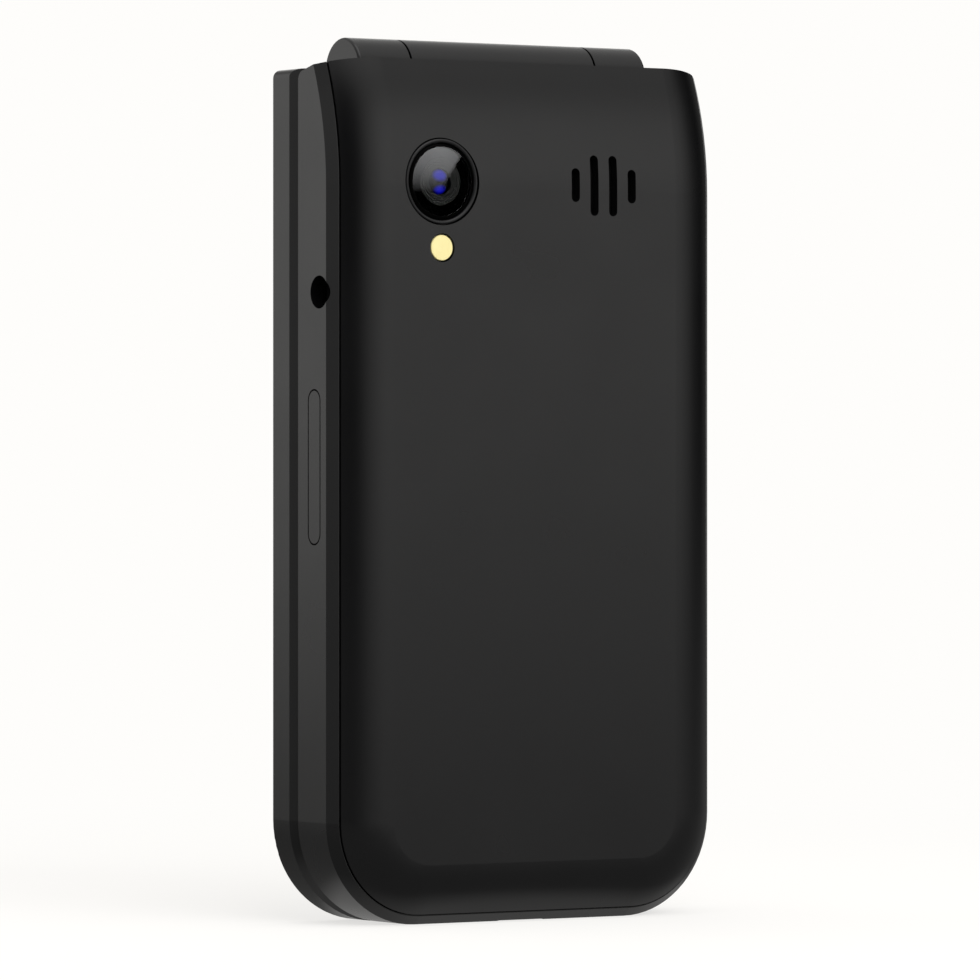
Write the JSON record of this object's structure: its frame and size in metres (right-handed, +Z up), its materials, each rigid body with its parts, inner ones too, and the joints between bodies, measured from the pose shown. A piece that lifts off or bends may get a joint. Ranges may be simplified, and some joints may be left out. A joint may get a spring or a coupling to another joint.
{
  "type": "flip phone",
  "caption": "Closed black flip phone with hinged lid, crowned battery cover, camera, flash, loudspeaker slots, side volume key and headset socket, and a keypad under the lid.",
  "frame": {"origin": "centre of the bottom end, on the surface the phone stands on", "axes": "+Z up the phone's length towards the hinge, +Y towards the back with the camera, -Y towards the lid, +X towards the side with the volume key"},
  "size_m": [0.056, 0.0164, 0.108],
  "materials": {
    "shell_plastic": "fine satin texture, moulded",
    "deck_plastic": "satin",
    "key_plastic": "soft touch",
    "frame_plastic": "moulded",
    "window_glass": "polished, dark printed border",
    "trim_ring": "satin",
    "flash_resin": "translucent, yellow phosphor behind",
    "led_body": "moulded",
    "lens_black": "coated lens",
    "board_laminate": "solder mask",
    "can_metal": "stamped",
    "screw_metal": "blackened",
    "contact_metal": "gold plated",
    "dome_metal": "stamped",
    "battery_wrap": "printed film, bare",
    "silicone": "matt",
    "speaker_black": "moulded",
    "mesh_cloth": "woven",
    "display_panel": "unlit panel",
    "flex_film": "amber film"
  },
  "bodies": {
    "base": {"audio_jack": "frame_plastic", "base_housing": "shell_plastic", "base_screws": "screw_metal", "battery": "battery_wrap", "battery_contacts": "contact_metal", "board_shields": "can_metal", "camera_module": "lens_black", "camera_ring": "trim_ring", "camera_window": "window_glass", "chassis": "frame_plastic", "dome_sheet": "dome_metal", "flash_led": "led_body", "flash_lens": "flash_resin", "hinge_pivot": "can_metal", "hinge_shaft": "can_metal", "keypad_deck": "deck_plastic", "keypad_rubber": "silicone", "loudspeaker": "speaker_black", "main_board": "board_laminate", "microphone": "frame_plastic", "sim_holder": "frame_plastic", "speaker_mesh": "mesh_cloth", "usb_receptacle": "can_metal", "vibration_motor": "can_metal", "volume_switches": "dome_metal"},
    "lid": {"lid_front_housing": "shell_plastic", "lid_rear_housing": "shell_plastic", "main_window": "window_glass", "main_display": "display_panel", "outer_window": "window_glass", "outer_display": "display_panel", "earpiece": "speaker_black", "lid_board": "board_laminate", "lid_bumpers": "silicone", "lid_screws": "screw_metal", "hinge_cartridge": "can_metal", "hinge_flex": "flex_film"},
    "battery_cover": {"battery_cover": "shell_plastic"},
    "volume_key": {"volume_key": "shell_plastic"},
    "key_0": {"key_0": "key_plastic"},
    "key_1": {"key_1": "key_plastic"},
    "key_2": {"key_2": "key_plastic"},
    "key_3": {"key_3": "key_plastic"},
    "key_4": {"key_4": "key_plastic"},
    "key_5": {"key_5": "key_plastic"},
    "key_6": {"key_6": "key_plastic"},
    "key_7": {"key_7": "key_plastic"},
    "key_8": {"key_8": "key_plastic"},
    "key_9": {"key_9": "key_plastic"},
    "key_hash": {"key_hash": "key_plastic"},
    "key_star": {"key_star": "key_plastic"},
    "nav_up": {"nav_up": "key_plastic"},
    "nav_down": {"nav_down": "key_plastic"},
    "nav_left": {"nav_left": "key_plastic"},
    "nav_right": {"nav_right": "key_plastic"},
    "ok_key": {"ok_key": "key_plastic"},
    "soft_key_left": {"soft_key_left": "key_plastic"},
    "soft_key_right": {"soft_key_right": "key_plastic"},
    "call_key": {"call_key": "key_plastic"},
    "end_key": {"end_key": "key_plastic"}
  },
  "joints": [
    {"name": "lid_hinge", "type": "hinge", "parent": "base", "child": "lid", "pos_m": [0, -0.00298, 0.1039], "axis": [-1, 0, 0], "range_deg": [0, 160]},
    {"name": "key_0_press", "type": "slide", "parent": "base", "child": "key_0", "axis": [0, 1, 0], "range_m": [0, 0.00035], "stiffness_N_per_m": 3000, "springref_m": -0.0001},
    {"name": "key_1_press", "type": "slide", "parent": "base", "child": "key_1", "axis": [0, 1, 0], "range_m": [0, 0.00035], "stiffness_N_per_m": 3000, "springref_m": -0.0001},
    {"name": "key_2_press", "type": "slide", "parent": "base", "child": "key_2", "axis": [0, 1, 0], "range_m": [0, 0.00035], "stiffness_N_per_m": 3000, "springref_m": -0.0001},
    {"name": "key_3_press", "type": "slide", "parent": "base", "child": "key_3", "axis": [0, 1, 0], "range_m": [0, 0.00035], "stiffness_N_per_m": 3000, "springref_m": -0.0001},
    {"name": "key_4_press", "type": "slide", "parent": "base", "child": "key_4", "axis": [0, 1, 0], "range_m": [0, 0.00035], "stiffness_N_per_m": 3000, "springref_m": -0.0001},
    {"name": "key_5_press", "type": "slide", "parent": "base", "child": "key_5", "axis": [0, 1, 0], "range_m": [0, 0.00035], "stiffness_N_per_m": 3000, "springref_m": -0.0001},
    {"name": "key_6_press", "type": "slide", "parent": "base", "child": "key_6", "axis": [0, 1, 0], "range_m": [0, 0.00035], "stiffness_N_per_m": 3000, "springref_m": -0.0001},
    {"name": "key_7_press", "type": "slide", "parent": "base", "child": "key_7", "axis": [0, 1, 0], "range_m": [0, 0.00035], "stiffness_N_per_m": 3000, "springref_m": -0.0001},
    {"name": "key_8_press", "type": "slide", "parent": "base", "child": "key_8", "axis": [0, 1, 0], "range_m": [0, 0.00035], "stiffness_N_per_m": 3000, "springref_m": -0.0001},
    {"name": "key_9_press", "type": "slide", "parent": "base", "child": "key_9", "axis": [0, 1, 0], "range_m": [0, 0.00035], "stiffness_N_per_m": 3000, "springref_m": -0.0001},
    {"name": "key_hash_press", "type": "slide", "parent": "base", "child": "key_hash", "axis": [0, 1, 0], "range_m": [0, 0.00035], "stiffness_N_per_m": 3000, "springref_m": -0.0001},
    {"name": "key_star_press", "type": "slide", "parent": "base", "child": "key_star", "axis": [0, 1, 0], "range_m": [0, 0.00035], "stiffness_N_per_m": 3000, "springref_m": -0.0001},
    {"name": "nav_up_press", "type": "slide", "parent": "base", "child": "nav_up", "axis": [0, 1, 0], "range_m": [0, 0.00035], "stiffness_N_per_m": 3000, "springref_m": -0.0001},
    {"name": "nav_down_press", "type": "slide", "parent": "base", "child": "nav_down", "axis": [0, 1, 0], "range_m": [0, 0.00035], "stiffness_N_per_m": 3000, "springref_m": -0.0001},
    {"name": "nav_left_press", "type": "slide", "parent": "base", "child": "nav_left", "axis": [0, 1, 0], "range_m": [0, 0.00035], "stiffness_N_per_m": 3000, "springref_m": -0.0001},
    {"name": "nav_right_press", "type": "slide", "parent": "base", "child": "nav_right", "axis": [0, 1, 0], "range_m": [0, 0.00035], "stiffness_N_per_m": 3000, "springref_m": -0.0001},
    {"name": "ok_key_press", "type": "slide", "parent": "base", "child": "ok_key", "axis": [0, 1, 0], "range_m": [0, 0.00035], "stiffness_N_per_m": 3000, "springref_m": -0.0001},
    {"name": "soft_key_left_press", "type": "slide", "parent": "base", "child": "soft_key_left", "axis": [0, 1, 0], "range_m": [0, 0.00035], "stiffness_N_per_m": 3000, "springref_m": -0.0001},
    {"name": "soft_key_right_press", "type": "slide", "parent": "base", "child": "soft_key_right", "axis": [0, 1, 0], "range_m": [0, 0.00035], "stiffness_N_per_m": 3000, "springref_m": -0.0001},
    {"name": "call_key_press", "type": "slide", "parent": "base", "child": "call_key", "axis": [0, 1, 0], "range_m": [0, 0.00035], "stiffness_N_per_m": 3000, "springref_m": -0.0001},
    {"name": "end_key_press", "type": "slide", "parent": "base", "child": "end_key", "axis": [0, 1, 0], "range_m": [0, 0.00035], "stiffness_N_per_m": 3000, "springref_m": -0.0001},
    {"name": "volume_rock", "type": "hinge", "parent": "base", "child": "volume_key", "pos_m": [0.0252, 0.00172, 0.05555], "axis": [0, 1, 0], "range_deg": [-1, 1], "stiffness_Nm_per_rad": 0.6},
    {"name": "battery_cover_lift", "type": "slide", "parent": "base", "child": "battery_cover", "axis": [0, 1, 0], "range_m": [0, 0.012]}
  ]
}
